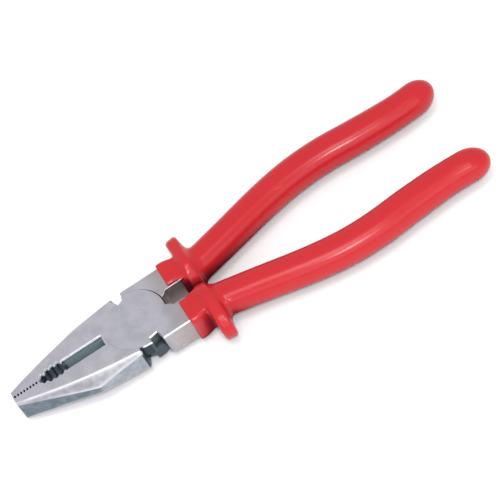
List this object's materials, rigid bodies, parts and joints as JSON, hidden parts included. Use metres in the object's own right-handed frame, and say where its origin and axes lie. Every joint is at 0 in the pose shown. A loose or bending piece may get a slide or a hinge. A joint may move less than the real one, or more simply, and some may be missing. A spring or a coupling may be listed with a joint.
{
  "type": "lineman pliers",
  "caption": "Combination lineman pliers with serrated tips, toothed pipe grip, side cutter, wire shear and moulded guarded grips.",
  "frame": {"origin": "the pivot axis at the head's flat rear face", "axes": "+X along the closed tool from the pivot to the handle ends, -X to the jaws, +Z along the pivot axis from the rear face to the front face, +Y towards the front half's jaw"},
  "size_m": [0.202, 0.0586, 0.0184],
  "materials": {
    "ground_steel": "fine satin grinding, bright chamfered edges",
    "rivet_steel": "ground flush with the head",
    "red_plastic": "glossy moulded red plastic"
  },
  "bodies": {
    "rear_body": {"rear_half": "ground_steel", "pivot_rivet": "rivet_steel", "rear_grip": "red_plastic"},
    "front_body": {"front_half": "ground_steel", "front_grip": "red_plastic"}
  },
  "joints": [
    {"name": "jaw_pivot", "type": "hinge", "parent": "rear_body", "child": "front_body", "pos_m": [0, 0, 0.00615], "axis": [0, 0, -1], "range_deg": [0, 15]}
  ]
}
